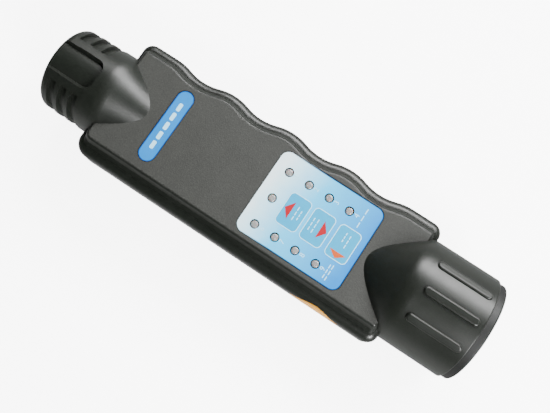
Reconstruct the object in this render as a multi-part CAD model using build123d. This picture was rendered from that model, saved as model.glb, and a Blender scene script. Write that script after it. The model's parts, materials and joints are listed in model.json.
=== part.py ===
"""Hand-held tester for 13-pin trailer sockets and plugs.

The connector axis runs along X: plug at -X, socket at +X. +Z is the face with the lamps,
+Y the side with the finger grips. Shapes are drawn about the middle of the case on the
connector axis, and `save` moves them to the part's origin, below the middle of the whole
tester at its lowest point.
"""
from build123d import *
import os
from math import asin, cos, hypot, radians, sin

# --- case ---------------------------------------------------------------------------
case_length = 143.6
case_width = 54.9
front_height = 10.7  # face above the parting plane
rear_height = 13.0  # back below the parting plane
wall = 2.2
front_side = 7.0  # height of the side wall up to the ledge round the face
rear_side = 9.0
shoulder_round = 3.4
edge_round = 1.6
corner_plug_plain = 6.5
corner_other = 4.6
least_corner = 1.2

grip_pitch = 28.6
grip_depth = 2.3
grip_dips = 4

# the raised face: how far its foot and its top edge lie inside the case outline
foot_grip, foot_plain, foot_end = 3.9, 4.7, 2.4
top_grip, top_plain, top_end = 5.4, 6.7, 3.4
flare_grip, flare_plain, flare_rise = 0.4, 1.1, 1.2  # where its foot runs out into the ledge
skirt_tuck = 0.15  # the flare stays this far inside at the ends
pocket_step = 0.3  # extra inset of the hollow under the raised face

# --- plug end -----------------------------------------------------------------------
plug_reach = 24.2  # from the case end to the plug's mouth
sleeve_radius = 18.6
sleeve_bore = 15.2
sleeve_lip_round = 3.0
lead_in_drop = 0.25
shoulder_rise = 0.25
land_from_mouth, land_to_mouth = 7.7, 19.5
groove_count = 3
groove_width = 3.4
groove_pitch = 5.3
groove_first = 4.3  # mouth to the first groove
groove_depth = 1.8
groove_from_normal = 33.0  # degrees
keyway_width = 13.8
keyway_length = 21.4
keyway_depth = 2.0
keyway_corner = 4.4
keyway_taper = 40.0  # lean of its walls, in degrees
plug_cone_start = 2.7  # past the case end, inwards
plug_cone_slope = 0.482
plug_cone_fillet = 11.0  # soft turn from the neck into its cone

# --- socket end ---------------------------------------------------------------------
socket_reach = 31.4
collar_radius = 22.36
ring_length = 3.45
ring_drop = 0.9
ring_round = 0.9
socket_bore = 19.0
socket_bore_length = 14.0
socket_well = 18.75
socket_well_length = 10.0
collar_cone_start = -2.3
collar_cone_slope = 0.649
collar_fillet = 11.0  # soft turn from the collar into its cone
collar_end_round = 0.45
rib_length = 23.3
rib_width = 3.5
rib_height = 0.9
rib_round = 0.8
rib_end_gap = 2.05  # rib end to the ring
rib_angle = 30.3

# --- contacts -----------------------------------------------------------------------
outer_contacts, outer_circle = 8, 11.0
inner_contacts, inner_circle = 4, 5.2
pin_radius = 1.2
pin_recess = 5.0
tail_radius = 0.7
tail_length = 4.0
sleeve_contact_radius = 1.8
sleeve_contact_bore = 1.25
sleeve_contact_depth = 7.0

# --- contact carriers -----------------------------------------------------------------
carrier_gap = 0.1
plug_carrier_depth = 18.0  # mouth to the carrier's face
plug_carrier_length = 7.5
plug_flange_radius, plug_flange_length, plug_flange_from_face = 16.3, 2.5, 4.2
socket_post_radius = 14.8
socket_flange_radius, socket_flange_length = 20.0, 4.0
socket_back_radius, socket_back_length = 13.0, 3.4
collar_throat = 17.0
seal_thickness = 1.2
lug_height = 2.0
lug_gap = 0.3

# --- panel --------------------------------------------------------------------------
panel_centre_x, panel_centre_y = 25.45, 0.28
panel_length, panel_width, panel_corner = 47.5, 37.8, 3.8
plate_centre_x = -43.1
plate_length, plate_width = 33.9, 7.8
label_recess = 0.5
label_thickness = 0.3
label_gap = 0.25

# --- lamps --------------------------------------------------------------------------
lamp_first_x, lamp_pitch, lamp_columns = 8.27, 9.36, 4
lamp_row_y, lamp_row_offset = -0.78, 12.33
lamp_radius = 1.75
lamp_gap = 0.15
lamp_flange_radius, lamp_flange_height = 2.15, 1.0
lamp_recess = 0.3  # lens top below the face
lead_radius = 0.3
lead_half_pitch = 1.27
lead_stub = 0.8

# --- board --------------------------------------------------------------------------
board_length, board_width, board_thickness = 57.5, 40.0, 1.6
board_top = 2.0
board_left = 0.5
board_hole_inset_x, board_hole_inset_y = 6.5, 2.2
board_hole_gap = 0.2
board_post_radius = 2.4
board_screw_radius, board_screw_head, board_screw_head_height = 1.1, 2.1, 1.5

# --- fasteners ----------------------------------------------------------------------
screw_inset_x, screw_inset_y = 9.8, 6.95
screw_radius, screw_head, screw_head_height = 1.4, 2.6, 2.0
screw_gap = 0.05
head_gap = 0.3
front_post_radius = 3.0
rear_boss_radius = 3.7
screw_seat_depth = 7.0  # back face to the seat under the head
screw_cap = 1.2  # left of the ledge beyond the screw's hole

# --- test button ----------------------------------------------------------------------
button_centre_x = 45.3
button_length, button_height = 22.2, 12.0
button_gap = 0.25
button_travel = 1.2
button_ear = 1.6
button_ear_height = 7.0
button_ear_thickness = 1.4
button_depth = 3.0  # from the side of the case to the back of the oval
switch_length, switch_depth, switch_height = 6.0, 4.0, 3.4
plunger_radius = 1.1
plunger_reach = 1.8
plunger_root = 1.6
plunger_gap = 0.05

# --- battery --------------------------------------------------------------------------
battery_length, battery_width, battery_height, battery_round = 48.5, 26.5, 17.5, 1.5
battery_gap = 0.5
battery_lift = 3.4  # back face to the battery
terminal_offset = 6.35
small_terminal, large_terminal, terminal_height = 2.8, 4.2, 3.0
snap_thickness, snap_height = 5.5, 12.5
snap_gap = 0.3
lead_wire_radius = 0.6

# --- battery door -----------------------------------------------------------------------
door_thickness = 2.0
door_gap = 0.3
hinge_radius = 1.6
hinge_pin_radius = 0.9
hinge_pin_gap = 0.07
hinge_pin_length = 1.4
cradle_thickness = 1.5
cradle_top = -1.0
cradle_start = 4.5  # battery end to the start of its side walls
latch_width, latch_thickness, latch_rise, latch_bite = 8.0, 1.2, 2.4, 0.8
door_end_room = 3.5  # battery end to the latch end of the opening
pad_thickness = 1.0
pad_inset = 4.0

# --- harness --------------------------------------------------------------------------
harness_radius = 1.6
harness_drop = 7.2  # below the axis where it leaves a carrier

# --- worked out from the sizes above ----------------------------------------------------
half_length = case_length / 2
half_width = case_width / 2
plug_mouth = -half_length - plug_reach
socket_mouth = half_length + socket_reach
collar_end = socket_mouth - ring_length
front_inside = front_height - wall
rear_inside = -(rear_height - wall)
axis_height = collar_radius + rib_height
origin_x = (plug_mouth + socket_mouth) / 2

plug_cone_x = -half_length + plug_cone_start
collar_cone_x = half_length + collar_cone_start
plug_face = plug_mouth + plug_carrier_depth
plug_back = plug_face + plug_carrier_length
socket_floor = socket_mouth - socket_bore_length - socket_well_length
flange_back = socket_floor - socket_flange_length
socket_back = flange_back - socket_back_length
post_top = socket_mouth - socket_bore_length

board_right = board_left + board_length
board_bottom = board_top - board_thickness
hinge_x = board_left - 0.3 - door_gap - hinge_radius - 0.3
hinge_z = -rear_height + hinge_radius
opening_right = hinge_x + hinge_radius + door_gap
battery_right = hinge_x - hinge_radius - 0.4
battery_left = battery_right - battery_length
battery_bottom = -rear_height + battery_lift
battery_middle = battery_bottom + battery_height / 2
opening_left = battery_left - door_end_room
opening_half = battery_width / 2 + battery_gap + 0.25
snap_left = battery_left - snap_gap - snap_thickness
screw_x = half_length - screw_inset_x
screw_y = half_width - screw_inset_y


# --- small shapes -----------------------------------------------------------------------
def block(x0, x1, y0, y1, z0, z1):
    return Pos((x0 + x1) / 2, (y0 + y1) / 2, (z0 + z1) / 2) * Box(x1 - x0, y1 - y0, z1 - z0)


def rod_x(radius, x0, x1, y=0.0, z=0.0):
    return Pos((x0 + x1) / 2, y, z) * Rot(0, 90, 0) * Cylinder(radius, x1 - x0)


def cone_x(radius0, radius1, x0, x1):
    return Pos((x0 + x1) / 2, 0, 0) * Rot(0, 90, 0) * Cone(radius0, radius1, x1 - x0)


def rod_y(radius, y0, y1, x, z):
    return Pos(x, (y0 + y1) / 2, z) * Rot(90, 0, 0) * Cylinder(radius, abs(y1 - y0))


def rod_z(radius, z0, z1, x, y):
    return Pos(x, y, (z0 + z1) / 2) * Cylinder(radius, z1 - z0)


def tube_run(points, radius, bend):
    path = FilletPolyline(*points, radius=bend)
    start = Plane(origin=path @ 0, z_dir=path % 0)
    return sweep(start * Circle(radius), path=path)


def group(shapes):
    return Compound(children=[solid for shape in shapes for solid in shape.solids()])


def save(name, shape):
    export_step(Pos(-origin_x, 0, axis_height) * shape, f"parts/{name}.step")


# --- case outline -------------------------------------------------------------------------
def grip_edges(inset, left, right):
    """The finger grips as tangent arcs, from the left end of the side to the right end."""
    quarter = grip_pitch / 4
    bend = (quarter**2 + (grip_depth / 2) ** 2) / grip_depth
    tilt = asin(quarter / bend)
    crest_y = half_width - inset
    dip_y = crest_y - grip_depth
    first = -grip_dips * grip_pitch / 2
    edges = [Line((left, crest_y), (first, crest_y))]
    at = (first, crest_y)
    for i in range(grip_dips):
        crest = first + i * grip_pitch
        dip = crest + grip_pitch / 2
        reach = (bend - inset) * sin(tilt)
        knee_y = half_width - bend + (bend - inset) * cos(tilt)
        into = (crest + reach, knee_y)
        out = (2 * dip - crest - reach, knee_y)
        middle = (crest, crest_y)
        if i == 0:
            half = asin(reach / (bend - inset)) / 2
            middle = (
                crest + (bend - inset) * sin(half),
                half_width - bend + (bend - inset) * cos(half),
            )
        edges.append(ThreePointArc(at, middle, into))
        edges.append(ThreePointArc(into, (dip, dip_y), out))
        at = out
    last = -first
    half = tilt / 2
    middle = (last - (bend - inset) * sin(half), half_width - bend + (bend - inset) * cos(half))
    edges.append(ThreePointArc(at, middle, (last, crest_y)))
    edges.append(Line((last, crest_y), (right, crest_y)))
    return edges


def outline(grip, plain, end):
    """Plan of the case, inset on the grip side, on the plain side and at both ends."""
    x1 = half_length - end
    x0 = -x1
    y0 = -(half_width - plain)
    y1 = half_width - grip
    big = max(corner_plug_plain - end, least_corner)
    small = max(corner_other - end, least_corner)
    slant = 1 - 1 / 2**0.5
    edges = [
        Line((x0 + big, y0), (x1 - small, y0)),
        ThreePointArc(
            (x1 - small, y0), (x1 - small * slant, y0 + small * slant), (x1, y0 + small)
        ),
        Line((x1, y0 + small), (x1, y1 - small)),
        ThreePointArc(
            (x1, y1 - small), (x1 - small * slant, y1 - small * slant), (x1 - small, y1)
        ),
    ]
    edges += grip_edges(grip, x0 + small, x1 - small)
    edges += [
        ThreePointArc(
            (x0 + small, y1), (x0 + small * slant, y1 - small * slant), (x0, y1 - small)
        ),
        Line((x0, y1 - small), (x0, y0 + big)),
        ThreePointArc((x0, y0 + big), (x0 + big * slant, y0 + big * slant), (x0 + big, y0)),
    ]
    return make_face(edges)


def top_edges(shape):
    return shape.faces().sort_by(Axis.Z)[-1].edges()


def skirt(side, height):
    """A flare round the foot of the raised face, on its long sides only."""
    rise = 1.25 * flare_rise
    share = rise / (height - side)
    grip = foot_grip - flare_grip
    plain = foot_plain - flare_plain
    grip_in = grip + 1.25 * (flare_grip + 0.8 * share * (top_grip - foot_grip))
    plain_in = plain + 1.25 * (flare_plain + 0.8 * share * (top_plain - foot_plain))
    end_in = foot_end + skirt_tuck + share * (top_end - foot_end)
    low = outline(grip, plain, foot_end + skirt_tuck)
    high = outline(grip_in, plain_in, end_in)
    return loft([Pos(0, 0, side) * low, Pos(0, 0, side + rise) * high], ruled=True)


def half_case(side, height):
    """One half of the case as a solid block: side wall, rounded shoulder, raised face."""
    base = extrude(outline(0, 0, 0), side)
    base = fillet(top_edges(base), shoulder_round)
    foot = outline(foot_grip, foot_plain, foot_end)
    top = outline(top_grip, top_plain, top_end)
    raised = loft([Pos(0, 0, side) * foot, Pos(0, 0, height) * top], ruled=True)
    raised = fillet(top_edges(raised), edge_round)
    return base + extrude(foot, side) + raised + skirt(side, height)


def half_hollow(side, height):
    low = extrude(outline(wall, wall, wall), side - wall)
    step = wall + pocket_step
    high = outline(foot_grip + step, foot_plain + step, foot_end + step)
    return low + extrude(high, height - wall)


# --- plug and socket shapes ---------------------------------------------------------------
def keyway():
    """A recess with leaning walls and a floor that follows the sleeve."""
    half = keyway_width / 2
    start = plug_mouth - keyway_length
    height = sleeve_radius * cos(asin(half / sleeve_radius))
    plan = RectangleRounded(2 * keyway_length, keyway_width, keyway_corner)
    middle = Pos(start + keyway_length, 0, height)
    above = extrude(middle * plan, 3)
    below = extrude(middle * plan, -4, taper=keyway_taper)
    return above + below - rod_x(sleeve_radius - keyway_depth, start - 1, 0)


def sleeve_grooves():
    cuts = []
    sweep_angle = 180 - 2 * groove_from_normal
    for i in range(groove_count):
        x = plug_mouth + groove_first + i * groove_pitch
        floor = sleeve_radius - groove_depth
        profile = make_face(Polyline(
            (x, floor), (x + groove_width, floor), (x + groove_width, sleeve_radius + 1),
            (x, sleeve_radius + 1), close=True,
        ))
        ring = revolve(profile, Axis.X, sweep_angle)
        cuts.append(Rot(-sweep_angle / 2, 0, 0) * ring)
        cuts.append(Rot(180 - sweep_angle / 2, 0, 0) * ring)
    return cuts


def round_turn(shape, x, radius):
    """Rounds the edge that runs round the connector axis at x."""
    turns = shape.edges().filter_by(GeomType.CIRCLE).filter_by_position(Axis.X, x - 0.01, x + 0.01)
    return fillet(turns, radius)


def plug_outside():
    """Plug sleeve with its lead-in, land and shoulder, running as a cone into the face."""
    run = (sleeve_radius - 6) / plug_cone_slope
    lead = rod_x(sleeve_radius - lead_in_drop, plug_mouth, plug_mouth + land_from_mouth)
    lead = fillet(lead.edges().sort_by(Axis.X)[0], sleeve_lip_round)
    land = rod_x(sleeve_radius, plug_mouth + land_from_mouth, plug_mouth + land_to_mouth)
    neck = rod_x(sleeve_radius + shoulder_rise, plug_mouth + land_to_mouth, plug_cone_x)
    cone = cone_x(sleeve_radius + shoulder_rise, 6 + shoulder_rise, plug_cone_x, plug_cone_x + run)
    neck = round_turn(neck + cone, plug_cone_x, plug_cone_fillet)
    shape = lead + land + neck - keyway()
    for cut in sleeve_grooves():
        shape -= cut
    return shape


def collar_rib(angle):
    x = collar_end - rib_end_gap - rib_length / 2
    bar = extrude(SlotOverall(rib_length, rib_width), rib_height + 1)
    bar = fillet(top_edges(bar), rib_round)
    return Rot(angle, 0, 0) * Pos(x, 0, collar_radius - 1) * bar


def socket_outside():
    run = (collar_radius - 6) / collar_cone_slope
    barrel = rod_x(collar_radius, collar_cone_x, collar_end)
    cone = cone_x(6, collar_radius, collar_cone_x - run, collar_cone_x)
    barrel = fillet(barrel.edges().sort_by(Axis.X)[-1], collar_end_round)
    shape = round_turn(barrel + cone, collar_cone_x, collar_fillet)
    for angle in (0, 180):
        for turn in (-rib_angle, 0, rib_angle):
            shape += collar_rib(angle + turn)
    return shape


def plug_hollow():
    skin = wall / cos(radians(25.7))
    turn = plug_cone_x + (sleeve_radius - skin - sleeve_bore) / plug_cone_slope
    run = (sleeve_bore - 4) / plug_cone_slope
    flange = plug_face + plug_flange_from_face
    bore = rod_x(sleeve_bore, plug_mouth - 1, turn)
    seat = rod_x(
        plug_flange_radius + carrier_gap, flange - carrier_gap,
        flange + plug_flange_length + carrier_gap,
    )
    return bore + cone_x(sleeve_bore, 4, turn, turn + run) + seat


def socket_hollow():
    skin = wall / cos(radians(33))
    turn = collar_cone_x - (collar_radius - skin - collar_throat) / collar_cone_slope
    run = (collar_throat - 4) / collar_cone_slope
    bore = rod_x(socket_bore, post_top, socket_mouth + 1)
    well = rod_x(socket_well, socket_floor, post_top)
    seat = rod_x(socket_flange_radius + carrier_gap, flange_back - carrier_gap, socket_floor)
    throat = rod_x(collar_throat, turn, flange_back)
    return bore + well + seat + throat + cone_x(4, collar_throat, turn - run, turn)


def socket_lug():
    """Guide lug in the deep part of the socket, as wide as a plug's keyway less a gap."""
    inner = socket_well - lug_height
    half = keyway_width / 2 - lug_gap
    bar = block(socket_floor, post_top, -half, half, inner, socket_well + 0.5)
    return bar & rod_x(socket_well + 0.5, socket_floor, post_top)


def whole_outside():
    front = half_case(front_side, front_height)
    rear = mirror(half_case(rear_side, rear_height), Plane.XY)
    return front + rear + plug_outside() + socket_outside()


def whole_inside():
    front = half_hollow(front_side, front_height)
    rear = mirror(half_hollow(rear_side, rear_height), Plane.XY)
    return front + rear + plug_hollow() + socket_hollow()


# --- places -----------------------------------------------------------------------------------
def contact_places():
    places = []
    for i in range(outer_contacts):
        angle = radians((i + 0.5) * 360 / outer_contacts)
        places.append((outer_circle * cos(angle), outer_circle * sin(angle)))
    for i in range(inner_contacts):
        angle = radians((i + 0.5) * 360 / inner_contacts)
        places.append((inner_circle * cos(angle), inner_circle * sin(angle)))
    return places + [(0.0, 0.0)]


def lamp_places():
    columns = [lamp_first_x + i * lamp_pitch for i in range(lamp_columns)]
    above = [(x, lamp_row_y + lamp_row_offset) for x in columns]
    below = [(x, lamp_row_y - lamp_row_offset) for x in columns]
    return above + [(lamp_first_x, lamp_row_y)] + below


def case_screw_places():
    return [(x, y) for x in (-screw_x, screw_x) for y in (-screw_y, screw_y)]


def board_screw_places():
    xs = (board_left + board_hole_inset_x, board_right - board_hole_inset_x + 3.5)
    ys = (-board_width / 2 + board_hole_inset_y, board_width / 2 - board_hole_inset_y)
    return [(x, y) for x in xs for y in ys]


# --- recesses and openings ------------------------------------------------------------------
def panel_shape(gap):
    plan = RectangleRounded(
        panel_length - 2 * gap, panel_width - 2 * gap, panel_corner - gap
    )
    return Pos(panel_centre_x, panel_centre_y) * plan


def plate_shape(gap):
    slot = SlotOverall(plate_length - 2 * gap, plate_width - 2 * gap, rotation=90)
    return Pos(plate_centre_x, panel_centre_y) * slot


def button_oval(gap, y0, y1):
    plan = Ellipse(button_length / 2 + gap, button_height / 2 + gap)
    prism = extrude(plan, y1 - y0)
    return Pos(button_centre_x, y0, 0) * Rot(-90, 0, 0) * prism


def door_opening():
    return block(
        opening_left, opening_right, -opening_half, opening_half, -rear_height - 1,
        rear_inside + 0.01,
    )


# --- case halves ------------------------------------------------------------------------------
def front_shell(solid, hollow):
    far = case_length + socket_reach
    above = block(-far, far, -far, far, 0, far)
    shell = (solid - hollow) & above
    hole_end = front_side - screw_cap
    for x, y in case_screw_places():
        shell += rod_z(front_post_radius, 0, front_side - wall + 0.2, x, y)
    for x, y in board_screw_places():
        shell += rod_z(board_post_radius, board_top, front_inside + 0.2, x, y)
    shell += socket_lug()
    for x, y in case_screw_places():
        shell -= rod_z(screw_radius + screw_gap, -1, hole_end, x, y)
    for x, y in board_screw_places():
        shell -= rod_z(board_screw_radius + screw_gap, board_top - 1, front_inside, x, y)
    for plan in (panel_shape(0), plate_shape(0)):
        shell -= Pos(0, 0, front_height - label_recess) * extrude(plan, 1)
    for x, y in lamp_places():
        shell -= rod_z(lamp_radius + lamp_gap, front_inside - 1, front_height + 1, x, y)
    return shell - button_cut()


def button_cut():
    back = -half_width + button_depth + button_travel + button_gap
    return button_oval(button_gap, -half_width - 1, back)


def rear_shell(solid, hollow):
    far = case_length + socket_reach
    below = block(-far, far, -far, far, -far, 0)
    shell = (solid - hollow) & below
    for x, y in case_screw_places():
        shell += rod_z(rear_boss_radius, rear_inside - 0.2, 0, x, y)
    for side in (-1, 1):
        inner = side * opening_half
        outer = side * (opening_half + cradle_thickness)
        shell += block(
            battery_left + cradle_start, opening_right, min(inner, outer), max(inner, outer),
            rear_inside - 0.2, cradle_top,
        )
    across = opening_half + cradle_thickness
    shell += block(
        opening_right - 0.01, opening_right + 1.0, -across, across, rear_inside - 0.2, cradle_top - 2.0
    )
    stop = snap_left - 1.5
    shell += block(stop - 1.2, stop, -11.0, 11.0, rear_inside - 0.2, rear_inside + 4.5)
    seat = -rear_height + screw_seat_depth
    for x, y in case_screw_places():
        shell -= rod_z(screw_radius + head_gap, seat - 1, 1, x, y)
        shell -= rod_z(screw_head + head_gap, -rear_height - 1, seat, x, y)
    shell -= door_opening()
    shell -= rod_y(hinge_pin_radius + hinge_pin_gap, -across, across, hinge_x, hinge_z)
    return shell - button_cut()


def socket_ring():
    ring = rod_x(collar_radius - ring_drop, collar_end, socket_mouth)
    ring = fillet(ring.edges().sort_by(Axis.X)[-1], ring_round)
    return ring - rod_x(socket_bore, collar_end - 1, socket_mouth + 1)


# --- battery door -------------------------------------------------------------------------------
def battery_door():
    half = opening_half - door_gap
    end = opening_left + door_gap
    top = -rear_height + door_thickness
    plate = block(end, hinge_x, -half, half, -rear_height, top)
    plate += rod_y(hinge_radius, -half, half, hinge_x, hinge_z)
    for side in (-1, 1):
        plate += rod_y(
            hinge_pin_radius, side * (half - 0.5), side * (half + door_gap + hinge_pin_length - 0.1),
            hinge_x, hinge_z,
        )
    catch = rear_inside + door_gap
    hook = block(
        end, end + latch_thickness, -latch_width / 2, latch_width / 2, top - 0.2, top + latch_rise
    )
    hook += block(
        opening_left - latch_bite, end + latch_thickness, -latch_width / 2, latch_width / 2,
        catch, top + latch_rise,
    )
    plate += hook
    for i in range(3):
        x = end + 4 + 2.4 * i
        plate -= block(x, x + 1.2, -6, 6, -rear_height - 1, -rear_height + 0.6)
    return plate


def door_pad():
    top = -rear_height + door_thickness
    return block(
        battery_left + pad_inset, battery_right - pad_inset, -battery_width / 2 + 2,
        battery_width / 2 - 2, top, top + pad_thickness,
    )


# --- contacts and carriers ------------------------------------------------------------------------
def plug_carrier():
    flange = plug_face + plug_flange_from_face
    body = rod_x(sleeve_bore - carrier_gap, plug_face, plug_back)
    body += rod_x(plug_flange_radius, flange, flange + plug_flange_length)
    for y, z in contact_places():
        body -= rod_x(pin_radius + 0.02, plug_face - 1, plug_face + 3, y, z)
        body -= rod_x(tail_radius + 0.02, plug_face + 2, plug_back + 1, y, z)
    return body


def plug_pins():
    pins = []
    tip = plug_mouth + pin_recess
    for y, z in contact_places():
        pin = rod_x(pin_radius, tip, plug_face + 3, y, z)
        pin = fillet(pin.edges().sort_by(Axis.X)[0], pin_radius * 0.7)
        pins.append(pin + rod_x(tail_radius, plug_face + 3, plug_back + tail_length, y, z))
    return group(pins)


def socket_carrier():
    body = rod_x(socket_post_radius, flange_back, post_top)
    body += rod_x(socket_flange_radius, flange_back, socket_floor - 0.05)
    body += rod_x(socket_back_radius, socket_back, flange_back)
    body = body - socket_contact_room()
    return body


def socket_contact_room():
    room = []
    for y, z in contact_places():
        room.append(rod_x(sleeve_contact_radius + 0.02, flange_back, post_top + 1, y, z))
        room.append(rod_x(tail_radius + 0.02, socket_back - 1, flange_back + 1, y, z))
    return room


def socket_contacts():
    contacts = []
    top = post_top - 0.5
    for y, z in contact_places():
        sleeve = rod_x(sleeve_contact_radius, flange_back, top, y, z)
        sleeve -= rod_x(sleeve_contact_bore, top - sleeve_contact_depth, top + 1, y, z)
        tail = rod_x(tail_radius, socket_back - tail_length + 1, flange_back, y, z)
        contacts.append(sleeve + tail)
    return group(contacts)


def socket_seal():
    outer = rod_x(socket_well - 0.1, socket_floor, socket_floor + seal_thickness)
    ring = outer - rod_x(socket_post_radius + 0.1, socket_floor - 1, post_top)
    half = keyway_width / 2
    return ring - block(socket_floor - 1, post_top, -half, half, 0, collar_radius)


# --- labels and lamps ---------------------------------------------------------------------------
def panel_label():
    base = front_height - label_recess
    label = Pos(0, 0, base) * extrude(panel_shape(label_gap), label_thickness)
    for x, y in lamp_places():
        label -= rod_z(lamp_radius + lamp_gap, base - 1, front_height + 1, x, y)
    return label


def name_plate():
    return Pos(0, 0, front_height - label_recess) * extrude(plate_shape(label_gap), label_thickness)


def lamp(x, y):
    top = front_height - lamp_recess
    lens = rod_z(lamp_radius, board_top + lamp_flange_height - 0.2, top, x, y)
    lens = fillet(lens.edges().sort_by(Axis.Z)[-1], lamp_radius * 0.6)
    foot = rod_z(lamp_flange_radius, board_top, board_top + lamp_flange_height, x, y)
    body = lens + foot
    for side in (-1, 1):
        body += rod_z(lead_radius, board_bottom - lead_stub, board_top, x + side * lead_half_pitch, y)
    return body


# --- board and what it carries -------------------------------------------------------------------
def circuit_board():
    board = block(
        board_left, board_right, -board_width / 2, board_width / 2, board_bottom, board_top
    )
    for x, y in board_screw_places():
        board -= rod_z(board_screw_radius + board_hole_gap, board_bottom - 1, board_top + 1, x, y)
    for x, y in lamp_places():
        for side in (-1, 1):
            board -= rod_z(
                lead_radius + 0.1, board_bottom - 1, board_top + 1, x + side * lead_half_pitch, y
            )
    return board


def chip(x, y, length, width, height, legs):
    """A flat package under the board, its legs along both long sides."""
    body = block(
        x - length / 2, x + length / 2, y - width / 2, y + width / 2,
        board_bottom - height, board_bottom - 0.1,
    )
    pitch = (length - 1.0) / (legs - 1)
    for i in range(legs):
        at = x - length / 2 + 0.5 + i * pitch
        for side in (-1, 1):
            near = y + side * (width / 2 - 0.3)
            far = y + side * (width / 2 + 1.2)
            body += block(
                at - 0.2, at + 0.2, min(near, far), max(near, far), board_bottom - 0.45, board_bottom
            )
    return body


def row_of_parts(x, y, count, pitch, size):
    parts = []
    for i in range(count):
        at = x + i * pitch
        parts.append(block(
            at - size[0] / 2, at + size[0] / 2, y - size[1] / 2, y + size[1] / 2,
            board_bottom - size[2], board_bottom,
        ))
    return parts


def header(x0, x1, y0, y1):
    return block(x0, x1, y0, y1, board_bottom - 4.6, board_bottom)


# --- test button ----------------------------------------------------------------------------------
def switch_back():
    return -board_width / 2 + 0.6 + switch_depth


def test_switch():
    y1 = switch_back()
    y0 = y1 - switch_depth
    half = switch_length / 2
    z = board_bottom - switch_height / 2
    body = block(
        button_centre_x - half, button_centre_x + half, y0, y1, board_bottom - switch_height,
        board_bottom,
    )
    return body - rod_y(plunger_radius + plunger_gap, y0 - 1, y0 + plunger_root + button_travel + 0.2,
                        button_centre_x, z)


def switch_plunger():
    y0 = switch_back() - switch_depth
    z = board_bottom - switch_height / 2
    return rod_y(plunger_radius, y0 - plunger_reach, y0 + plunger_root, button_centre_x, z)


def test_button(outside):
    back = -half_width + button_depth
    oval = button_oval(0, -half_width - 1, back) & outside
    ear = button_length / 2 + button_ear
    ear_y = -half_width + wall + 0.2
    half = button_ear_height / 2
    wings = block(
        button_centre_x - ear, button_centre_x + ear, ear_y, ear_y + button_ear_thickness, -half, half
    )
    tip = switch_back() - switch_depth - plunger_reach - 0.1
    z = board_bottom - switch_height / 2
    stem = rod_y(plunger_radius + 0.5, back - 0.5, tip, button_centre_x, z)
    return oval + wings + stem


# --- battery and wiring -----------------------------------------------------------------------------
def terminal_rods(extra, depth):
    large = rod_x(large_terminal + extra, battery_left - depth, battery_left + 0.5,
                  terminal_offset, battery_middle)
    small = rod_x(small_terminal + extra, battery_left - depth, battery_left + 0.5,
                  -terminal_offset, battery_middle)
    return large + small


def battery():
    half = battery_width / 2
    body = block(
        battery_left, battery_right, -half, half, battery_bottom, battery_bottom + battery_height
    )
    body = fillet(body.edges().filter_by(Axis.X), battery_round)
    return body + terminal_rods(0, terminal_height)


def battery_snap():
    half = battery_width / 2
    body = block(
        snap_left, battery_left - snap_gap, -half, half, battery_middle - snap_height / 2,
        battery_middle + snap_height / 2,
    )
    return body - terminal_rods(0.2, terminal_height + 0.2)


def battery_lead(x, y):
    z = board_top + 1.4
    start = battery_width / 2
    end = board_left + 1.6
    return tube_run(
        [(x, start, z), (x, y, z), (end, y, z), (end, y, board_top)], lead_wire_radius, 0.75
    )


def plug_harness():
    z = board_bottom - 2.0
    side = -(battery_width / 2 + 1.75)
    out = -(opening_half + cradle_thickness + harness_radius + 1.0)
    return tube_run(
        [
            (plug_back, 0, -harness_drop),
            (plug_back + 6.0, 0, -harness_drop),
            (snap_left - 4.0, side, -4.0),
            (snap_left + 2.5, side, z),
            (battery_left + 2.0, out, z),
            (board_left + 1.1, out, z),
        ],
        harness_radius, 2.4,
    )


def socket_harness():
    z = board_bottom - 2.0
    return tube_run(
        [
            (socket_back, 0, -harness_drop),
            (socket_back - 6.0, 0, -harness_drop),
            (board_right + 3.0, -7.0, z),
            (board_right - 0.8, -7.0, z),
        ],
        harness_radius, 2.0,
    )


def case_screws():
    screws = []
    seat = -rear_height + screw_seat_depth
    for x, y in case_screw_places():
        head = rod_z(screw_head, seat - screw_head_height, seat, x, y)
        slot = block(x - 1.8, x + 1.8, y - 0.35, y + 0.35, seat - 3, seat - screw_head_height + 1)
        cross = block(x - 0.35, x + 0.35, y - 1.8, y + 1.8, seat - 3, seat - screw_head_height + 1)
        shank = rod_z(screw_radius, seat, front_side - screw_cap - 0.8, x, y)
        screws.append(head + shank - slot - cross)
    return group(screws)


def board_screws():
    screws = []
    for x, y in board_screw_places():
        head = rod_z(board_screw_head, board_bottom - board_screw_head_height, board_bottom, x, y)
        screws.append(head + rod_z(board_screw_radius, board_bottom, front_inside - 1.0, x, y))
    return group(screws)


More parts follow.
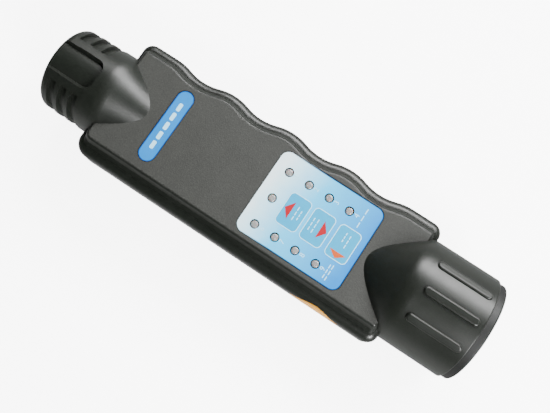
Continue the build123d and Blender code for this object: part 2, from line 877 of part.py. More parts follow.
# --- build and write ----------------------------------------------------------------------------------
def main():
    os.makedirs("parts", exist_ok=True)
    outside = whole_outside()
    hollow = whole_inside()
    save("front_shell", front_shell(outside, hollow))
    save("rear_shell", rear_shell(outside, hollow))
    save("test_button", test_button(outside))
    save("socket_ring", socket_ring())
    save("panel_label", panel_label())
    save("name_plate", name_plate())
    for i, (x, y) in enumerate(lamp_places(), start=1):
        save(f"lamp_{i}", lamp(x, y))
    save("circuit_board", circuit_board())
    middle = board_left + board_length / 2
    save("controller_chip", chip(middle - 6, 4.0, 17.9, 7.5, 2.5, 14))
    save("driver_chip_1", chip(middle + 14, 5.5, 9.9, 3.9, 1.7, 8))
    save("driver_chip_2", chip(middle + 14, -4.5, 9.9, 3.9, 1.7, 8))
    save("resistors", group(row_of_parts(middle - 17, -6.5, 9, 3.0, (1.3, 2.0, 0.5))))
    save("capacitors", group(row_of_parts(middle - 12, 16.0, 4, 9.36, (3.2, 2.5, 1.8))))
    out = -(opening_half + cradle_thickness + harness_radius + 1.0)
    save("plug_header", header(board_left + 1.1, board_left + 3.7, out - 2.0, out + 6.0))
    save("socket_header", header(board_right - 3.4, board_right - 0.8, -11.0, -3.0))
    save("test_switch", test_switch())
    save("switch_plunger", switch_plunger())
    save("battery", battery())
    save("battery_snap", battery_snap())
    save("battery_lead_plus", battery_lead(battery_left - 3.1, 18.4))
    save("battery_lead_minus", battery_lead(battery_left - 1.7, 16.4))
    save("battery_door", battery_door())
    save("door_pad", door_pad())
    save("plug_carrier", plug_carrier())
    save("plug_pins", plug_pins())
    save("socket_carrier", socket_carrier())
    save("socket_contacts", socket_contacts())
    save("socket_seal", socket_seal())
    save("plug_harness", plug_harness())
    save("socket_harness", socket_harness())
    save("case_screws", case_screws())
    save("board_screws", board_screws())


main()
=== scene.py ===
# Looks for the trailer socket and plug tester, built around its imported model.
import bpy
import bmesh
import json
from math import radians
from mathutils import Matrix, Vector


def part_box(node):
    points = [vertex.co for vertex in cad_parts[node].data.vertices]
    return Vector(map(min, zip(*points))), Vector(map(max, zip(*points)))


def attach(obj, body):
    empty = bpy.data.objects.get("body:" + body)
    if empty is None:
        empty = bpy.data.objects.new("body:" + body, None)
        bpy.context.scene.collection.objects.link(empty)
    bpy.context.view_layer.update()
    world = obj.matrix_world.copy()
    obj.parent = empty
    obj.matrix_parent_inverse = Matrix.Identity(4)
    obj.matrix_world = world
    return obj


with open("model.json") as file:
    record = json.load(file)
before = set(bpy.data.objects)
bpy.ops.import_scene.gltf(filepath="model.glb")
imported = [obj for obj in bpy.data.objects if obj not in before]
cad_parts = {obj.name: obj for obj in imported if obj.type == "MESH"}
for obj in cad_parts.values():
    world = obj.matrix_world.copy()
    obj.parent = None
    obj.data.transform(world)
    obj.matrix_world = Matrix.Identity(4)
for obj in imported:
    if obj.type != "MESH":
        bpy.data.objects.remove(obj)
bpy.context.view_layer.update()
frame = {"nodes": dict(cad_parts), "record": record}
nodes = frame["nodes"]
mm = 0.001
print("frame loaded:", len(nodes), "nodes")

# places read from the frame
panelLow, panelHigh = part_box("panel_label")
plateLow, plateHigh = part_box("name_plate")
panelMiddle = (panelLow + panelHigh) / 2
plateMiddle = (plateLow + plateHigh) / 2
mounts = {m["name"]: m for m in frame["record"]["mounts"]}
axisHeight = mounts["socket_bore"]["pos_m"][2]
backHeight = mounts["back_face"]["pos_m"][2]
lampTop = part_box("lamp_1")[1].z
faceHeight = panelHigh.z + 0.2 * mm  # the film lies this far below the face


# small helpers for node trees
def put(tree, kind, inputs=(), **properties):
    # adds a node; inputs are linked or set, by name or number
    node = tree.nodes.new(kind)
    for key, value in properties.items():
        setattr(node, key, value)
    for key, value in dict(inputs).items():
        socket = node.inputs[key]
        if isinstance(value, bpy.types.NodeSocket):
            tree.links.new(value, socket)
        else:
            socket.default_value = value
    return node


def calc(tree, operation, *values):
    return put(tree, "ShaderNodeMath", dict(enumerate(values)), operation=operation).outputs[0]


def remap(tree, value, low=0.0, high=1.0, start=0.0, end=1.0):
    # start to end becomes low to high, held past both ends
    spans = {"Value": value, "From Min": start, "From Max": end, "To Min": low, "To Max": high}
    return put(tree, "ShaderNodeMapRange", spans).outputs["Result"]


def noise(tree, vector, size, detail, **more):
    inputs = {"Vector": vector, "Scale": size, "Detail": detail, **more}
    return put(tree, "ShaderNodeTexNoise", inputs).outputs["Fac"]


def split(tree, vector):
    return put(tree, "ShaderNodeSeparateXYZ", {"Vector": vector}).outputs


def scaleColour(tree, colour, amount):
    node = put(tree, "ShaderNodeVectorMath", {0: colour, "Scale": amount}, operation="SCALE")
    return node.outputs["Vector"]


def blendColours(tree, amount, first, second):
    colours = [c if isinstance(c, bpy.types.NodeSocket) else (*c, 1) for c in (first, second)]
    inputs = {0: amount, 6: colours[0], 7: colours[1]}
    return put(tree, "ShaderNodeMix", inputs, data_type="RGBA").outputs[2]


def ramp(tree, value, stops):
    node = put(tree, "ShaderNodeValToRGB", {"Fac": value})
    band = node.color_ramp
    while len(band.elements) < len(stops):
        band.elements.new(0.5)
    for element, (place, colour) in zip(band.elements, stops):
        element.position = place
        element.color = (*colour, 1)
    return node.outputs["Color"]


# shader node groups
def newGroup(name, inputs, outputs):
    tree = bpy.data.node_groups.new(name, "ShaderNodeTree")
    for label, value in inputs.items():
        kind = "NodeSocketVector" if value is None else "NodeSocketFloat"
        socket = tree.interface.new_socket(label, in_out="INPUT", socket_type=kind)
        if value is not None:
            socket.default_value = value
    for label in outputs:
        tree.interface.new_socket(label, in_out="OUTPUT", socket_type="NodeSocketFloat")
    return tree, tree.nodes.new("NodeGroupInput").outputs, tree.nodes.new("NodeGroupOutput").inputs


grainLook = {
    "size": 2500.0,
    "toneSize": 60.0,
    "pebbleShare": 0.6,
    "roughShare": 0.6,
}


def makeGrainGroup():
    # moulded grain: a fine pebble for Bump, and slow tone changes for colour and roughness
    look = grainLook
    tree, enter, leave = newGroup(
        "mouldedGrain", {"Vector": None, "Size": look["size"], "Tone Size": look["toneSize"]},
        ["Height", "Tone"])
    pebble = put(tree, "ShaderNodeTexVoronoi", {"Vector": enter["Vector"], "Scale": enter["Size"]},
                 feature="SMOOTH_F1").outputs["Distance"]
    rough = noise(tree, enter["Vector"], enter["Size"], 3.0)
    height = calc(tree, "ADD", calc(tree, "MULTIPLY", pebble, look["pebbleShare"]),
                  calc(tree, "MULTIPLY", rough, look["roughShare"]))
    slow = noise(tree, enter["Vector"], enter["Tone Size"], 4.0, Roughness=0.6)
    tree.links.new(height, leave["Height"])
    tree.links.new(slow, leave["Tone"])
    return tree


wearLook = {
    "edge": 0.55,
    "edgeFull": 0.75,
    "breakSize": 700.0,
    "smudgeSize": 90.0,
    "smudgeFrom": 0.45,
    "smudgeFull": 0.7,
}


def makeWearGroup():
    # handling marks: worn convex edges and a few smudges are 1, all else is 0
    look = wearLook
    tree, enter, leave = newGroup(
        "handlingWear", {"Vector": None, "Edge": look["edge"], "Smudge Size": look["smudgeSize"]},
        ["Wear", "Smudge"])
    bent = put(tree, "ShaderNodeNewGeometry").outputs["Pointiness"]
    edge = remap(tree, bent, start=enter["Edge"], end=look["edgeFull"])
    broken = noise(tree, enter["Vector"], look["breakSize"], 3.0)
    patch = noise(tree, enter["Vector"], enter["Smudge Size"], 5.0, Distortion=0.6)
    smudge = remap(tree, patch, start=look["smudgeFrom"], end=look["smudgeFull"])
    tree.links.new(calc(tree, "MULTIPLY", edge, broken), leave["Wear"])
    tree.links.new(smudge, leave["Smudge"])
    return tree


grainGroup = makeGrainGroup()
wearGroup = makeWearGroup()


def useGrain(tree, place, size=grainLook["size"], toneSize=grainLook["toneSize"]):
    inputs = {"Vector": place, "Size": size, "Tone Size": toneSize}
    return put(tree, "ShaderNodeGroup", node_tree=grainGroup, inputs=inputs).outputs


def useWear(tree, place):
    return put(tree, "ShaderNodeGroup", node_tree=wearGroup, inputs={"Vector": place}).outputs


# materials
def startMaterial(name, **fixed):
    material = bpy.data.materials.new(name)
    material.use_nodes = True
    tree = material.node_tree
    shader = next(n for n in tree.nodes if n.type == "BSDF_PRINCIPLED")
    for key, value in fixed.items():
        shader.inputs[key.replace("_", " ")].default_value = value
    place = tree.nodes.new("ShaderNodeTexCoord").outputs["Object"]
    return material, tree, shader, place


def feedShader(tree, shader, colour, roughness, height=None, depth=mm):
    tree.links.new(colour, shader.inputs["Base Color"])
    tree.links.new(roughness, shader.inputs["Roughness"])
    if height is not None:
        bump = put(tree, "ShaderNodeBump", {"Height": height, "Distance": depth, "Strength": 1.0})
        tree.links.new(bump.outputs["Normal"], shader.inputs["Normal"])


plasticLook = {
    "wornShare": 0.6,
    "wornGain": 1.5,  # worn edges take the colour times this
    "wornLift": 0.02,  # plus this
    "glossSpan": 0.05,
    "smudgeGloss": 0.06,
}


def mouldedPlastic(name, colour, roughness, grain=2600.0, grainDepth=0.012 * mm, tone=0.25):
    # one plain moulded plastic: grain, tone changes, smudges, paler worn edges
    look = plasticLook
    material, tree, shader, place = startMaterial(name, IOR=1.5)
    texture = useGrain(tree, place, grain)
    wear = useWear(tree, place)
    dark = tuple(c * (1 - tone) for c in colour)
    light = tuple(min(c * (1 + tone), 1) for c in colour)
    pale = tuple(min(c * look["wornGain"] + look["wornLift"], 1) for c in colour)
    mixed = blendColours(tree, texture["Tone"], dark, light)
    worn = calc(tree, "MULTIPLY", wear["Wear"], look["wornShare"])
    mixed = blendColours(tree, worn, mixed, pale)
    span = look["glossSpan"]
    gloss = calc(tree, "ADD", remap(tree, texture["Tone"], roughness - span, roughness + span),
                 calc(tree, "MULTIPLY", wear["Smudge"], look["smudgeGloss"]))
    feedShader(tree, shader, mixed, gloss, texture["Height"], grainDepth)
    return material


caseLook = {
    # face colour: partly the spark texture's own grey, partly painted sheen of the light above;
    # side colour: darkened as painted shade
    "faceColour": (0.022, 0.023, 0.0205),
    "faceRoughness": 0.62,
    "sideColour": (0.0068, 0.0082, 0.0064),
    "sideRoughness": 0.36,
    "wornColour": (0.11, 0.11, 0.105),
    "wornShare": 0.35,
    "smudgeGloss": 0.05,
    "grain": 2400.0,
    "toneSize": 110.0,
    "toneSpan": (0.82, 1.18),
    "speckSpan": (0.35, 1.8),
    "faceGrainDepth": 0.05 * mm,
    "sideGrainDepth": 0.006 * mm,
    "faceDepth": 0.12 * mm,  # how far below the face the spark-textured zone reaches
    "uprightFrom": 0.88,  # surfaces that lean more than this stay smooth
    "uprightTo": 0.99,
    "seamColour": (0.003, 0.003, 0.003),
    "seamHalf": 0.11 * mm,
    "seamDepth": 0.15 * mm,
    "seamGloss": 0.3,
}


def nearHeight(tree, value, height, reach):
    # 1 within reach of a height, 0 elsewhere
    return calc(tree, "MULTIPLY", calc(tree, "GREATER_THAN", value, height - reach),
                calc(tree, "LESS_THAN", value, height + reach))


def casePlastic():
    # flat front and back are spark-textured and dull, all else is smooth and satin; the flat faces
    # are coloured lighter, partly for their texture and partly as painted sheen, and the smooth
    # sides darker as painted shade
    look = caseLook
    material, tree, shader, place = startMaterial("caseBlack", IOR=1.5)
    level = split(tree, place)["Z"]
    texture = useGrain(tree, place, look["grain"], look["toneSize"])
    wear = useWear(tree, place)
    onFront = nearHeight(tree, level, faceHeight, look["faceDepth"])
    onBack = nearHeight(tree, level, backHeight, look["faceDepth"])
    normal = put(tree, "ShaderNodeTexCoord").outputs["Normal"]
    upright = calc(tree, "ABSOLUTE", split(tree, normal)["Z"])
    facing = remap(tree, upright, start=look["uprightFrom"], end=look["uprightTo"])
    textured = calc(tree, "MULTIPLY", calc(tree, "MAXIMUM", onFront, onBack), facing)
    speck = calc(tree, "MULTIPLY", remap(tree, texture["Tone"], *look["toneSpan"]),
                 remap(tree, texture["Height"], *look["speckSpan"]))
    # smooth sides take the darker colour as painted shade, textured faces the lighter colour that
    # holds painted sheen
    colour = blendColours(tree, textured, scaleColour(tree, look["sideColour"], speck),
                          scaleColour(tree, look["faceColour"], speck))
    worn = calc(tree, "MULTIPLY", wear["Wear"], look["wornShare"])
    colour = blendColours(tree, worn, colour, look["wornColour"])
    off = calc(tree, "ABSOLUTE", calc(tree, "SUBTRACT", level, axisHeight))
    seam = calc(tree, "LESS_THAN", off, look["seamHalf"])
    colour = blendColours(tree, seam, colour, look["seamColour"])
    span = look["faceRoughness"] - look["sideRoughness"]
    gloss = calc(tree, "ADD", calc(tree, "MULTIPLY", textured, span), look["sideRoughness"])
    smudge = calc(tree, "MULTIPLY", wear["Smudge"], look["smudgeGloss"])
    gloss = calc(tree, "ADD", gloss, smudge)
    gloss = calc(tree, "ADD", gloss, calc(tree, "MULTIPLY", seam, look["seamGloss"]))
    depth = calc(tree, "ADD", calc(tree, "MULTIPLY", textured, look["faceGrainDepth"] / mm),
                 look["sideGrainDepth"] / mm)
    height = calc(tree, "MULTIPLY", texture["Height"], depth)
    cut = calc(tree, "MULTIPLY", seam, look["seamDepth"] / mm)
    feedShader(tree, shader, colour, gloss, calc(tree, "SUBTRACT", height, cut))
    return material


filmLook = {
    "stops": [(0.0, (0.76, 0.94, 1.0)), (0.14, (0.48, 0.83, 1.0)), (0.40, (0.05, 0.54, 0.92)),
              (1.0, (0.0, 0.20, 0.60))],
    "lean": 0.06,  # how far the fade is turned across the panel
    "cloud": 0.10,
    "cloudSize": 75.0,
    # painted shade of the gap round the panel's recess
    "panelEdge": (0.004, 0.04, 0.17),
    "panelCorner": 3.55 * mm,
    "panelEdgeEnd": 0.1 * mm,
    "edgeFrom": 0.02,  # the painted gap shade comes in between these shares of the length
    "edgeTo": 0.35,
    "pill": (0.0, 0.19, 0.54),
    "pillTone": (0.85, 1.15),
    "pillToneSize": 90.0,
    "pillEdge": (0.008, 0.06, 0.26),
    "pillEdgeEnd": 0.2 * mm,
    "edgeWidth": 0.5 * mm,
    "grain": 5200.0,
    "grainDepth": 0.004 * mm,
    "roughness": (0.28, 0.42),
}


def startFilm(name, toneSize):
    # clear-coated film with its grain
    material, tree, shader, place = startMaterial(
        name, IOR=1.5, Coat_Weight=0.25, Coat_Roughness=0.18)
    axes = split(tree, place)
    texture = useGrain(tree, place, filmLook["grain"], toneSize)
    return material, tree, shader, axes, texture


def endFilm(tree, shader, colour, texture):
    gloss = remap(tree, texture["Tone"], *filmLook["roughness"])
    feedShader(tree, shader, colour, gloss, texture["Height"], filmLook["grainDepth"])


def panelFilm():
    # pale at the plug end, sky blue at the socket end, with slow cloudiness in the ink, and painted
    # shade of the recess gap along the edge away from the plug end
    look = filmLook
    material, tree, shader, axes, texture = startFilm("panelFilm", look["cloudSize"])
    along = remap(tree, axes["X"], start=panelLow.x, end=panelHigh.x)
    across = remap(tree, axes["Y"], look["lean"], -look["lean"], panelLow.y, panelHigh.y)
    cloud = remap(tree, texture["Tone"], -look["cloud"], look["cloud"])
    shade = calc(tree, "ADD", calc(tree, "ADD", along, across), cloud)
    corner = look["panelCorner"]
    past = []
    for name, low, high in (("X", panelLow.x, panelHigh.x), ("Y", panelLow.y, panelHigh.y)):
        off = calc(tree, "ABSOLUTE", calc(tree, "SUBTRACT", axes[name], (low + high) / 2))
        beyond = calc(tree, "MAXIMUM", calc(tree, "SUBTRACT", off, (high - low) / 2 - corner), 0.0)
        past.append(calc(tree, "MULTIPLY", beyond, beyond))
    reach = calc(tree, "SQRT", calc(tree, "ADD", *past))
    # painted shade of the recess gap: a dark band inside the film's rounded outline
    rim = remap(tree, reach, start=corner - look["edgeWidth"], end=corner - look["panelEdgeEnd"])
    shown = remap(tree, along, start=look["edgeFrom"], end=look["edgeTo"])
    rim = calc(tree, "MULTIPLY", rim, shown)
    ink = blendColours(tree, rim, ramp(tree, shade, look["stops"]), look["panelEdge"])
    endFilm(tree, shader, ink, texture)
    return material


def pillFilm():
    # one blue with a dark edge round the whole pill
    look = filmLook
    material, tree, shader, axes, texture = startFilm("pillFilm", look["pillToneSize"])
    radius = (plateHigh.x - plateLow.x) / 2
    straight = (plateHigh.y - plateLow.y) / 2 - radius
    dx = calc(tree, "SUBTRACT", axes["X"], plateMiddle.x)
    dy = calc(tree, "ABSOLUTE", calc(tree, "SUBTRACT", axes["Y"], plateMiddle.y))
    past = calc(tree, "MAXIMUM", calc(tree, "SUBTRACT", dy, straight), 0.0)
    reach = calc(tree, "SQRT", calc(tree, "ADD", calc(tree, "MULTIPLY", dx, dx),
                                    calc(tree, "MULTIPLY", past, past)))
    border = remap(tree, reach, start=radius - look["edgeWidth"], end=radius - look["pillEdgeEnd"])
    ink = scaleColour(tree, look["pill"], remap(tree, texture["Tone"], *look["pillTone"]))
    endFilm(tree, shader, blendColours(tree, border, ink, look["pillEdge"]), texture)
    return material


lensLook = {
    "grain": 1500.0,
    "toneSize": 500.0,
    "dark": (0.20, 0.19, 0.19),
    "light": (0.30, 0.29, 0.28),
    # painted shade on the lens inside its hole
    "hole": (0.06, 0.06, 0.06),
    "holeFrom": 0.9 * mm,  # below the lens's top
    "holeTo": 0.1 * mm,
    "roughness": (0.18, 0.3),
}


def lensResin():
    # diffused lamp lens: milky grey, with painted shade low on the lens where it sits down in its
    # hole
    look = lensLook
    material, tree, shader, place = startMaterial(
        "lensResin", IOR=1.52, Subsurface_Weight=0.25, Subsurface_Scale=0.002, Coat_Weight=0.5,
        Coat_Roughness=0.08)
    texture = useGrain(tree, place, look["grain"], look["toneSize"])
    above = remap(tree, split(tree, place)["Z"], start=lampTop - look["holeFrom"],
                  end=lampTop - look["holeTo"])
    milky = blendColours(tree, texture["Tone"], look["dark"], look["light"])
    # painted shade: the lens goes dark below its top, where it sits in the hole
    colour = blendColours(tree, above, look["hole"], milky)
    feedShader(tree, shader, colour, remap(tree, texture["Tone"], *look["roughness"]))
    return material


metalLook = {
    "lines": 1800.0,
    "lineDepth": 0.006 * mm,
    "toneSize": 220.0,
    "darkShare": 0.72,
    "glossBelow": 0.08,
    "glossAbove": 0.12,
}


def metalFinish(name, colour, roughness, brush=(1, 1, 1)):
    # metal with fine drawn lines along the axis that brush squashes
    look = metalLook
    material, tree, shader, place = startMaterial(name, Metallic=1.0)
    stretched = put(tree, "ShaderNodeMapping", {"Vector": place, "Scale": brush}).outputs["Vector"]
    lines = noise(tree, stretched, look["lines"], 4.0)
    tone = useGrain(tree, place, toneSize=look["toneSize"])["Tone"]
    dark = tuple(c * look["darkShare"] for c in colour)
    gloss = remap(tree, lines, roughness - look["glossBelow"], roughness + look["glossAbove"])
    feedShader(tree, shader, blendColours(tree, tone, dark, colour), gloss, lines,
               look["lineDepth"])
    return material


boardLook = {
    "mask": (0.012, 0.10, 0.035),
    "track": (0.03, 0.22, 0.07),
    "trackPattern": 260.0,
    "trackWidth": 0.05,
    "trackShare": 0.55,
    "trackDepth": 0.02 * mm,
    "toneSize": 140.0,
    "roughness": (0.3, 0.45),
}


def boardMask():
    # green solder mask with faint copper tracks under it
    look = boardLook
    material, tree, shader, place = startMaterial("boardMask", IOR=1.5, Coat_Weight=0.3)
    tone = useGrain(tree, place, toneSize=look["toneSize"])["Tone"]
    tracks = put(tree, "ShaderNodeTexBrick",
                 {"Vector": place, "Scale": look["trackPattern"], "Mortar Size": look["trackWidth"],
                  "Color1": (0, 0, 0, 1), "Color2": (0.1, 0.1, 0.1, 1),
                  "Mortar": (1, 1, 1, 1)}).outputs["Color"]
    line = calc(tree, "MULTIPLY", tracks, look["trackShare"])
    colour = blendColours(tree, line, look["mask"], look["track"])
    feedShader(tree, shader, colour, remap(tree, tone, *look["roughness"]), line,
               look["trackDepth"])
    return material


batteryLook = {
    "body": (0.55, 0.56, 0.58),
    "foot": (0.04, 0.06, 0.10),
    "top": (0.62, 0.60, 0.55),
    "footShare": 0.3,
    "topDepth": 3.2 * mm,
    "toneSize": 120.0,
    "dirt": (0.1, 0.1, 0.1),
    "dirtShare": 0.25,
    "roughness": (0.25, 0.4),
}


def batteryJacket():
    # steel jacket, dark foot and pale body
    look = batteryLook
    material, tree, shader, place = startMaterial("batteryJacket", Metallic=0.6)
    low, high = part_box("battery")
    along = split(tree, place)["X"]
    tone = useGrain(tree, place, toneSize=look["toneSize"])["Tone"]
    foot = calc(tree, "GREATER_THAN", along, high.x - look["footShare"] * (high.x - low.x))
    top = calc(tree, "LESS_THAN", along, low.x + look["topDepth"])
    colour = blendColours(tree, foot, look["body"], look["foot"])
    colour = blendColours(tree, top, colour, look["top"])
    dirt = calc(tree, "MULTIPLY", tone, look["dirtShare"])
    colour = blendColours(tree, dirt, colour, look["dirt"])
    feedShader(tree, shader, colour, remap(tree, tone, *look["roughness"]))
    return material


inkLook = {
    "grain": 6000.0,
    "grainDepth": 0.004 * mm,
    "toneSize": 600.0,
    "darkShare": 0.88,
    "roughness": (0.34, 0.46),
}


def printInk(name, colour):
    # screen-printed ink: thin, slightly uneven
    look = inkLook
    material, tree, shader, place = startMaterial(name, IOR=1.5)
    texture = useGrain(tree, place, look["grain"], look["toneSize"])
    dark = tuple(c * look["darkShare"] for c in colour)
    feedShader(tree, shader, blendColours(tree, texture["Tone"], dark, colour),
               remap(tree, texture["Tone"], *look["roughness"]),
               texture["Height"], look["grainDepth"])
    return material


finishes = {
    "case": casePlastic(),
    "ring": mouldedPlastic("ringBlack", (0.004, 0.0045, 0.004), 0.55, tone=0.2),
    "carrier": mouldedPlastic("carrierBlack", (0.02, 0.02, 0.021), 0.48, tone=0.2),
    "button": mouldedPlastic("buttonAmber", (0.45, 0.20, 0.0), 0.5, grain=3200.0,
                             grainDepth=0.01 * mm, tone=0.08),
    "panel": panelFilm(),
    "plate": pillFilm(),
    "lens": lensResin(),
    "board": boardMask(),
    "chip": mouldedPlastic("chipBlack", (0.02, 0.02, 0.02), 0.5),
    "ceramic": mouldedPlastic("ceramicTan", (0.42, 0.32, 0.2), 0.5),
    "nylon": mouldedPlastic("nylonWhite", (0.75, 0.74, 0.70), 0.5, tone=0.06),
    "battery": batteryJacket(),
    "wireRed": mouldedPlastic("wireRed", (0.45, 0.015, 0.012), 0.5),
    "wireBlack": mouldedPlastic("wireBlack", (0.015, 0.015, 0.015), 0.5),
    "wireGrey": mouldedPlastic("wireGrey", (0.16, 0.16, 0.17), 0.5),
    "foam": mouldedPlastic("padFoam", (0.03, 0.03, 0.03), 0.9, grain=1500.0, grainDepth=0.12 * mm),
    "brass": metalFinish("contactBrass", (0.78, 0.60, 0.30), 0.28, brush=(0.2, 1, 1)),
    "rubber": mouldedPlastic("sealRubber", (0.012, 0.012, 0.012), 0.7),
    "steel": metalFinish("screwSteel", (0.50, 0.50, 0.49), 0.35),
    "white": printInk("inkWhite", (0.42, 0.80, 1.0)),
    "cyan": printInk("inkCyan", (0.0, 0.34, 0.62)),
    "red": printInk("inkRed", (0.36, 0.007, 0.016)),
    "orange": printInk("inkOrange", (0.52, 0.085, 0.015)),
}
finishOfNode = {
    "case": ["front_shell", "rear_shell", "battery_door"],
    "ring": ["socket_ring"],
    "carrier": ["plug_carrier", "socket_carrier"],
    "button": ["test_button"],
    "panel": ["panel_label"],
    "plate": ["name_plate"],
    "lens": [f"lamp_{i}" for i in range(1, 10)],
    "board": ["circuit_board"],
    "chip": ["controller_chip", "driver_chip_1", "driver_chip_2", "resistors", "test_switch",
             "switch_plunger", "battery_snap"],
    "ceramic": ["capacitors"],
    "nylon": ["plug_header", "socket_header"],
    "battery": ["battery"],
    "wireRed": ["battery_lead_plus"],
    "wireBlack": ["battery_lead_minus"],
    "wireGrey": ["plug_harness", "socket_harness"],
    "foam": ["door_pad"],
    "brass": ["plug_pins", "socket_contacts"],
    "rubber": ["socket_seal"],
    "steel": ["case_screws", "board_screws"],
}
for finish, names in finishOfNode.items():
    for name in names:
        mesh = nodes[name].data
        mesh.materials.clear()
        mesh.materials.append(finishes[finish])
print("finishes on", sum(len(n) for n in finishOfNode.values()), "nodes")


# printed pieces on the panel and the pill
printLook = {
    "lift": 0.01 * mm,  # clear of the film under it
    "ink": 0.03 * mm,
    "overTile": 1.2,  # print on a tile starts this many ink layers up
}
panelLevel = panelHigh.z + printLook["lift"]
plateLevel = plateHigh.z + printLook["lift"]
tileLevel = panelLevel + printLook["ink"] * printLook["overTile"]


def meshPiece(name, bm, finish):
    bmesh.ops.recalc_face_normals(bm, faces=bm.faces)
    mesh = bpy.data.meshes.new(name)
    bm.to_mesh(mesh)
    bm.free()
    mesh.materials.append(finishes[finish])
    piece = bpy.data.objects.new(name, mesh)
    bpy.context.scene.collection.objects.link(piece)
    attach(piece, "casing")
    return piece


def raiseFaces(bm, height=printLook["ink"]):
    raised = bmesh.ops.extrude_face_region(bm, geom=list(bm.faces))["geom"]
    corners = [v for v in raised if isinstance(v, bmesh.types.BMVert)]
    bmesh.ops.translate(bm, verts=corners, vec=(0, 0, height))


def roundedFace(width, depth, corner, segments=8):
    # one flat face, width along X, depth along Y
    bm = bmesh.new()
    bmesh.ops.create_grid(bm, x_segments=1, y_segments=1, size=0.5)
    bmesh.ops.scale(bm, vec=(width, depth, 1), verts=bm.verts)
    bmesh.ops.bevel(bm, geom=list(bm.verts), offset=corner, offset_type="OFFSET",
                    segments=segments, profile=0.5, affect="VERTICES", material=-1)
    return bm


def moveTo(bm, place):
    bmesh.ops.translate(bm, verts=bm.verts, vec=place)


def turn(bm, degrees):
    bmesh.ops.rotate(bm, verts=bm.verts, cent=(0, 0, 0),
                     matrix=Matrix.Rotation(radians(degrees), 3, "Z"))


def joinMeshes(target, extra):
    mesh = bpy.data.meshes.new("joining")
    extra.to_mesh(mesh)
    extra.free()
    target.from_mesh(mesh)
    bpy.data.meshes.remove(mesh)


tileLook = {
    "width": 9.8 * mm,
    "depth": 14.2 * mm,
    "corner": 1.9 * mm,
    "border": 0.34 * mm,
    "across": -1.15 * mm,  # tile row from the panel's middle
    "along": [-7.05 * mm, 4.1 * mm, 15.75 * mm],
}
tileY = panelMiddle.y + tileLook["across"]
tileX = [panelMiddle.x + x for x in tileLook["along"]]


def panelTiles():
    look = tileLook
    for number, x in enumerate(tileX, start=1):
        fill = roundedFace(look["width"], look["depth"], look["corner"])
        raiseFaces(fill)
        moveTo(fill, (x, tileY, panelLevel))
        meshPiece(f"tileInk{number}", fill, "cyan")
        border = roundedFace(look["width"], look["depth"], look["corner"])
        rim = bmesh.ops.inset_individual(border, faces=list(border.faces),
                                         thickness=look["border"])
        inner = [f for f in border.faces if f not in rim["faces"]]
        bmesh.ops.delete(border, geom=inner, context="FACES_ONLY")
        raiseFaces(border, printLook["ink"] * 2)
        moveTo(border, (x, tileY, panelLevel))
        meshPiece(f"tileBorder{number}", border, "white")


barLook = {
    "width": 0.42 * mm,
    "inkShare": 0.78,  # ink along each dash's pitch
    "endShare": 0.3,  # corner radius, of the width
    "tileRows": [  # tile, along and across from its middle, length
        (0, 0.9 * mm, 0.0, 6.6 * mm),
        (0, 2.6 * mm, 0.0, 4.4 * mm),
        (1, -2.9 * mm, 0.0, 6.0 * mm),
        (1, -1.2 * mm, 0.0, 6.6 * mm),
        (2, -0.9 * mm, 2.6 * mm, 4.6 * mm),
        (2, 1.0 * mm, 1.6 * mm, 6.0 * mm),
    ],
    "edgeRows": [  # along from the fourth lamp, across from the panel's middle, length
        (7.9 * mm, 11.6 * mm, 9.4 * mm),
        (7.3 * mm, -13.4 * mm, 6.6 * mm),
        (8.5 * mm, -13.4 * mm, 7.4 * mm),
    ],
    "plateLength": 23.0 * mm,
    "plateWidth": 1.7 * mm,
    "plateDashes": 5,
}


def barRow(bars, length, place, dashes=3, width=barLook["width"]):
    # a short line of print as plain dashes along Y
    x, y, z = place
    pitch = length / dashes
    for i in range(dashes):
        bar = roundedFace(width, pitch * barLook["inkShare"], width * barLook["endShare"], 2)
        raiseFaces(bar)
        moveTo(bar, (x, y + (i - (dashes - 1) / 2) * pitch, z))
        joinMeshes(bars, bar)


def plateBars():
    # heavy plain dashes along the pill
    bars = bmesh.new()
    barRow(bars, barLook["plateLength"], (plateMiddle.x, plateMiddle.y, plateLevel),
           barLook["plateDashes"], barLook["plateWidth"])
    meshPiece("plateBars", bars, "white")


def panelBars():
    bars = bmesh.new()
    for tile, along, across, length in barLook["tileRows"]:
        barRow(bars, length, (tileX[tile] + along, tileY + across, tileLevel))
    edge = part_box("lamp_4")[0].x
    for along, across, length in barLook["edgeRows"]:
        barRow(bars, length, (edge + along, panelMiddle.y + across, panelLevel))
    meshPiece("panelBars", bars, "white")


arrowLook = {  # name: finish, tile, along and across from its middle, length, width, turn
    "arrowPlug": ("red", 0, -2.1 * mm, 0.0, 2.9 * mm, 7.6 * mm, 180),
    "arrowSocket": ("red", 1, 2.1 * mm, 0.0, 2.9 * mm, 7.6 * mm, 0),
    "arrowButton": ("orange", 2, 0.0, -4.6 * mm, 2.6 * mm, 7.2 * mm, -90),
}


def panelArrows():
    # flat triangles that point along +X before they are turned
    for name, (finish, tile, along, across, length, width, degrees) in arrowLook.items():
        bm = bmesh.new()
        bmesh.ops.create_circle(bm, cap_ends=True, segments=3, radius=1.0)
        turn(bm, -90)
        bmesh.ops.scale(bm, verts=bm.verts, vec=(length / 1.5, width / 3**0.5, 1))
        turn(bm, degrees)
        raiseFaces(bm)
        moveTo(bm, (tileX[tile] + along, tileY + across, tileLevel))
        meshPiece(name, bm, finish)


numberLook = {
    "height": 3.1 * mm,
    "offset": 3.4 * mm,  # from the lamp's middle
    "turn": 90,  # the figures read along +Y
    "merge": 0.001 * mm,
}


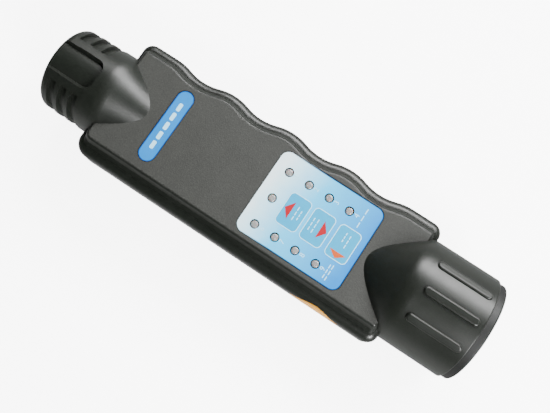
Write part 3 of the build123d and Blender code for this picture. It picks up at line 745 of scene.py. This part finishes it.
def numberMesh(text):
    # a plain number as raised flat faces
    curve = bpy.data.curves.new("number" + text, "FONT")
    curve.body = text
    curve.size = numberLook["height"]
    curve.align_x = "CENTER"
    curve.align_y = "CENTER"
    curve.resolution_u = 4
    maker = bpy.data.objects.new("number" + text, curve)
    bpy.context.scene.collection.objects.link(maker)
    mesh = bpy.data.meshes.new_from_object(maker)
    bpy.data.objects.remove(maker)
    bm = bmesh.new()
    bm.from_mesh(mesh)
    bpy.data.meshes.remove(mesh)
    bmesh.ops.remove_doubles(bm, verts=bm.verts, dist=numberLook["merge"])
    turn(bm, numberLook["turn"])
    raiseFaces(bm)
    return bm


def panelNumbers():
    for number in range(1, 10):
        low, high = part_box(f"lamp_{number}")
        middle = (low + high) / 2
        figure = numberMesh(str(number))
        moveTo(figure, (middle.x + numberLook["offset"], middle.y, panelLevel))
        meshPiece(f"lampNumber{number}", figure, "white")


panelTiles()
plateBars()
panelArrows()
panelNumbers()
panelBars()
print("panel print made")

# floor, light, camera
stageLook = {
    "floorSize": 4.0,
    "floorColour": (0.92, 0.92, 0.92),
    "floorGlow": 6.0,
    "worldStrength": 0.16,
    "tableStrength": 14.0,  # what the plastic mirrors of the table, below the horizon
    "tableEdge": -0.25,  # how far below the horizon the table is at full strength
}
floorShape = bmesh.new()
bmesh.ops.create_grid(floorShape, x_segments=1, y_segments=1, size=stageLook["floorSize"])
floorMesh = bpy.data.meshes.new("floor")
floorShape.to_mesh(floorMesh)
floorShape.free()
floor = bpy.data.objects.new("floor", floorMesh)
bpy.context.scene.collection.objects.link(floor)
floorPaint, _, floorShader, _ = startMaterial("floorPaint", Roughness=0.9)
floorShader.inputs["Base Color"].default_value = (*stageLook["floorColour"], 1)
floorShader.inputs["Emission Color"].default_value = (1, 1, 1, 1)
floorShader.inputs["Emission Strength"].default_value = stageLook["floorGlow"]
floorMesh.materials.append(floorPaint)
floor.visible_glossy = False  # the plastic stays dark down to its rims

world = bpy.data.worlds.new("studio")
world.use_nodes = True
sky = world.node_tree
level = split(sky, put(sky, "ShaderNodeTexCoord").outputs["Generated"])["Z"]
glow = remap(sky, level, stageLook["tableStrength"], stageLook["worldStrength"],
             stageLook["tableEdge"], 0.0)
sky.links.new(glow, sky.nodes["Background"].inputs["Strength"])
bpy.context.scene.world = world

lightLook = {  # direction, distance, width and depth, power, seen in gloss
    "keyLight": ((0.10, 0.74, 0.60), 0.70, (0.72, 0.26), 13.5, True),
    "sideLight": ((0.70, -0.42, 0.57), 0.80, (0.24, 0.24), 11.0, True),
    "topLight": ((0.55, 0.35, 0.90), 1.40, (0.90, 0.70), 15.0, False),
}


def softbox(name, direction, distance, size, power, glossy):
    # a soft area light aimed at the middle of the connectors' axis
    light = bpy.data.lights.new(name, "AREA")
    light.shape = "RECTANGLE"
    light.size, light.size_y = size
    light.energy = power
    lamp = bpy.data.objects.new(name, light)
    bpy.context.scene.collection.objects.link(lamp)
    lamp.location = Vector((0, 0, axisHeight)) + Vector(direction).normalized() * distance
    lamp.rotation_euler = Vector(direction).to_track_quat("Z", "Y").to_euler()
    lamp.visible_glossy = glossy


for name, settings in lightLook.items():
    softbox(name, *settings)

cameraLook = {
    "aim": (7.52 * mm, -3.02 * mm, 33.95 * mm),
    "distance": 262.9 * mm,
    "back": (0.09976, -0.14744, 0.98403),  # from the aim point to the camera
    "right": (0.83332, 0.55279, -0.00166),
    "focal": 44.12,
    "sensor": 36.0,
    "clip": 0.01,
}
back = Vector(cameraLook["back"]).normalized()
right = Vector(cameraLook["right"])
right = (right - back * right.dot(back)).normalized()
up = back.cross(right)
cameraData = bpy.data.cameras.new("camera")
cameraData.lens = cameraLook["focal"]
cameraData.sensor_width = cameraLook["sensor"]
cameraData.clip_start = cameraLook["clip"]
camera = bpy.data.objects.new("camera", cameraData)
bpy.context.scene.collection.objects.link(camera)
spot = Vector(cameraLook["aim"]) + back * cameraLook["distance"]
turned = Matrix((right, up, back)).transposed().to_4x4()
camera.matrix_world = Matrix.Translation(spot) @ turned
bpy.context.scene.camera = camera
print("stage, lights and camera set")
